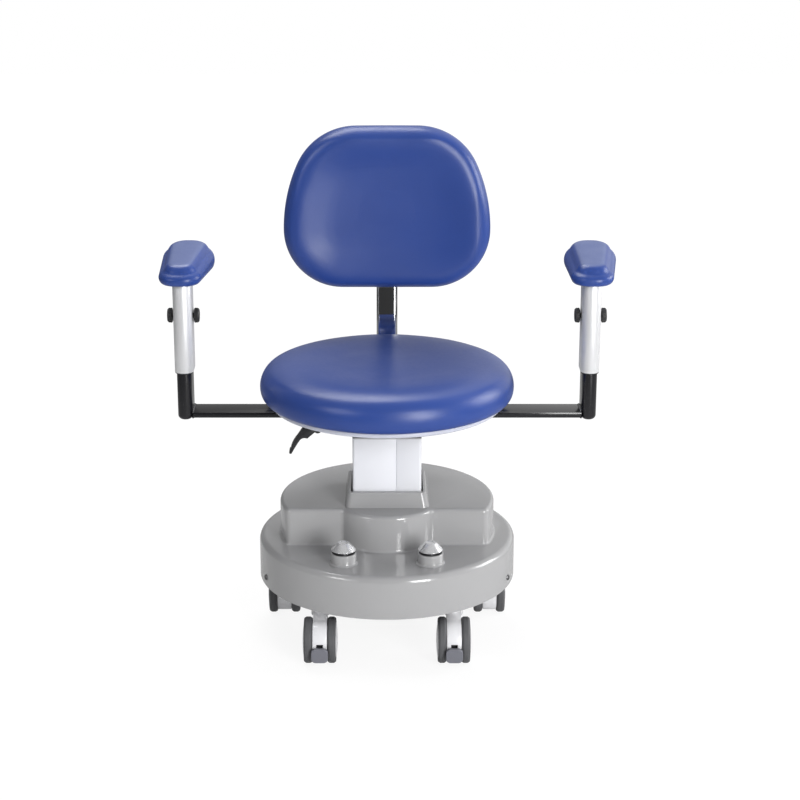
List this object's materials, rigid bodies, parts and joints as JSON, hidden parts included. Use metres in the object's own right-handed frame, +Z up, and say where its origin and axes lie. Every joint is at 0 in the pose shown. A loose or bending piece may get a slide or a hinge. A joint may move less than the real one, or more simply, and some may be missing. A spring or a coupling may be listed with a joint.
{
  "type": "electric examination chair",
  "caption": "Round-seat examination chair with backrest and armrests on an electric lift column, standing on a moulded base with foot buttons and twin-wheel castors, the front two braked.",
  "frame": {"origin": "on the floor under the axis of the lift column", "axes": "+Z up, -Y the front of the chair, +X to the right as seen from the front; left and right in names are as seen from the front"},
  "size_m": [0.701, 0.4542, 0.7602],
  "materials": {
    "cover_grey": "glossy moulded",
    "column_white": "satin powder coat",
    "black_steel": "semi-gloss paint",
    "bare_steel": "bright",
    "aluminium": "satin anodised",
    "chrome": "polished",
    "blue_cover": "smooth synthetic leather",
    "plywood": "raw",
    "pan_grey": "satin",
    "shell_grey": "fine grain",
    "black_plastic": "satin",
    "castor_white": "glossy",
    "tyre_grey": "soft tread",
    "pedal_grey": "satin",
    "drive_grey": "satin",
    "glide_grey": "satin"
  },
  "bodies": {
    "base": {"base_cover": "cover_grey", "base_plate": "black_steel", "cover_screws": "bare_steel", "castor_stems": "bare_steel", "column_outer": "column_white", "column_glide": "glide_grey", "actuator_body": "drive_grey", "control_box": "black_plastic", "power_supply": "drive_grey", "power_inlet": "black_plastic", "foot_switches": "black_plastic", "button_bezels": "cover_grey"},
    "lift": {"column_inner": "aluminium", "column_head": "black_steel", "actuator_rod": "bare_steel"},
    "seat": {"swivel_ring": "bare_steel", "seat_frame": "black_steel", "seat_bolts": "bare_steel", "seat_pan": "pan_grey", "seat_board": "plywood", "seat_cushion": "blue_cover", "arm_bar_left": "black_steel", "arm_bar_right": "black_steel", "arm_post_left": "black_steel", "arm_post_right": "black_steel", "back_hinge_bracket": "black_steel", "back_hinge_pin": "bare_steel"},
    "lever": {"tilt_lever": "black_plastic"},
    "back_bar": {"back_bar": "chrome"},
    "backrest": {"back_cushion": "blue_cover", "back_shell": "shell_grey", "back_slider": "black_plastic", "back_screws": "bare_steel"},
    "back_knob": {"back_knob": "black_plastic"},
    "button_left": {"foot_button_left": "chrome"},
    "button_right": {"foot_button_right": "chrome"},
    "arm_left": {"arm_sleeve_left": "aluminium"},
    "clamp_left": {"arm_clamp_left": "black_plastic"},
    "pad_left": {"arm_pad_plate_left": "black_steel", "arm_pad_left": "blue_cover"},
    "arm_right": {"arm_sleeve_right": "aluminium"},
    "clamp_right": {"arm_clamp_right": "black_plastic"},
    "pad_right": {"arm_pad_plate_right": "black_steel", "arm_pad_right": "blue_cover"},
    "castor_1": {"castor_1_fork": "castor_white"},
    "wheels_1": {"castor_1_wheels": "tyre_grey"},
    "pedal_1": {"castor_1_pedal": "pedal_grey"},
    "castor_2": {"castor_2_fork": "castor_white"},
    "wheels_2": {"castor_2_wheels": "tyre_grey"},
    "pedal_2": {"castor_2_pedal": "pedal_grey"},
    "castor_3": {"castor_3_fork": "castor_white"},
    "wheels_3": {"castor_3_wheels": "tyre_grey"},
    "castor_4": {"castor_4_fork": "castor_white"},
    "wheels_4": {"castor_4_wheels": "tyre_grey"},
    "castor_5": {"castor_5_fork": "castor_white"},
    "wheels_5": {"castor_5_wheels": "tyre_grey"}
  },
  "joints": [
    {"name": "lift", "type": "slide", "parent": "base", "child": "lift", "axis": [0, 0, 1], "range_m": [0, 0.15]},
    {"name": "seat_swivel", "type": "hinge", "parent": "lift", "child": "seat", "pos_m": [0, 0, 0.336], "axis": [0, 0, 1], "continuous": true},
    {"name": "lever_lift", "type": "hinge", "parent": "seat", "child": "lever", "pos_m": [-0.105, -0.062, 0.339], "axis": [0, 1, 0], "range_deg": [0, 12], "stiffness_Nm_per_rad": 0.5, "springref_deg": -8.59},
    {"name": "back_tilt", "type": "hinge", "parent": "seat", "child": "back_bar", "pos_m": [0, 0.095, 0.343], "axis": [-1, 0, 0], "range_deg": [-4, 14]},
    {"name": "back_height", "type": "slide", "parent": "back_bar", "child": "backrest", "axis": [0, 0, 1], "range_m": [-0.03, 0.05]},
    {"name": "back_clamp", "type": "hinge", "parent": "backrest", "child": "back_knob", "pos_m": [0, 0.229, 0.61], "axis": [0, 1, 0], "range_deg": [0, 270]},
    {"name": "arm_left_height", "type": "slide", "parent": "seat", "child": "arm_left", "axis": [0, 0, 1], "range_m": [-0.02, 0.02]},
    {"name": "arm_left_clamp", "type": "hinge", "parent": "arm_left", "child": "clamp_left", "pos_m": [-0.31, 0, 0.499], "axis": [1, 0, 0], "range_deg": [0, 90]},
    {"name": "arm_left_swivel", "type": "hinge", "parent": "arm_left", "child": "pad_left", "pos_m": [-0.31, 0, 0.553], "axis": [0, 0, 1], "range_deg": [-45, 20]},
    {"name": "foot_button_left", "type": "slide", "parent": "base", "child": "button_left", "axis": [0, 0, -1], "range_m": [0, 0.0035], "stiffness_N_per_m": 1500, "springref_m": -0.003},
    {"name": "arm_right_height", "type": "slide", "parent": "seat", "child": "arm_right", "axis": [0, 0, 1], "range_m": [-0.02, 0.02]},
    {"name": "arm_right_clamp", "type": "hinge", "parent": "arm_right", "child": "clamp_right", "pos_m": [0.31, 0, 0.499], "axis": [1, 0, 0], "range_deg": [0, 90]},
    {"name": "arm_right_swivel", "type": "hinge", "parent": "arm_right", "child": "pad_right", "pos_m": [0.31, 0, 0.553], "axis": [0, 0, 1], "range_deg": [-20, 45]},
    {"name": "foot_button_right", "type": "slide", "parent": "base", "child": "button_right", "axis": [0, 0, -1], "range_m": [0, 0.0035], "stiffness_N_per_m": 1500, "springref_m": -0.003},
    {"name": "castor_1_swivel", "type": "hinge", "parent": "base", "child": "castor_1", "pos_m": [-0.1011, -0.13915, 0.081], "axis": [0, 0, 1], "continuous": true},
    {"name": "castor_1_roll", "type": "hinge", "parent": "castor_1", "child": "wheels_1", "pos_m": [-0.1011, -0.16515, 0.035], "axis": [1, 0, 0], "continuous": true},
    {"name": "castor_1_brake", "type": "hinge", "parent": "castor_1", "child": "pedal_1", "pos_m": [-0.1011, -0.18115, 0.0185], "axis": [1, 0, 0], "range_deg": [0, 10]},
    {"name": "castor_2_swivel", "type": "hinge", "parent": "base", "child": "castor_2", "pos_m": [0.1011, -0.13915, 0.081], "axis": [0, 0, 1], "continuous": true},
    {"name": "castor_2_roll", "type": "hinge", "parent": "castor_2", "child": "wheels_2", "pos_m": [0.1011, -0.16515, 0.035], "axis": [1, 0, 0], "continuous": true},
    {"name": "castor_2_brake", "type": "hinge", "parent": "castor_2", "child": "pedal_2", "pos_m": [0.1011, -0.18115, 0.0185], "axis": [1, 0, 0], "range_deg": [0, 10]},
    {"name": "castor_3_swivel", "type": "hinge", "parent": "base", "child": "castor_3", "pos_m": [0.16358, 0.05315, 0.081], "axis": [0, 0, 1], "continuous": true},
    {"name": "castor_3_roll", "type": "hinge", "parent": "castor_3", "child": "wheels_3", "pos_m": [0.16358, 0.02715, 0.035], "axis": [1, 0, 0], "continuous": true},
    {"name": "castor_4_swivel", "type": "hinge", "parent": "base", "child": "castor_4", "pos_m": [0, 0.172, 0.081], "axis": [0, 0, 1], "continuous": true},
    {"name": "castor_4_roll", "type": "hinge", "parent": "castor_4", "child": "wheels_4", "pos_m": [0, 0.146, 0.035], "axis": [1, 0, 0], "continuous": true},
    {"name": "castor_5_swivel", "type": "hinge", "parent": "base", "child": "castor_5", "pos_m": [-0.16358, 0.05315, 0.081], "axis": [0, 0, 1], "continuous": true},
    {"name": "castor_5_roll", "type": "hinge", "parent": "castor_5", "child": "wheels_5", "pos_m": [-0.16358, 0.02715, 0.035], "axis": [1, 0, 0], "continuous": true}
  ]
}
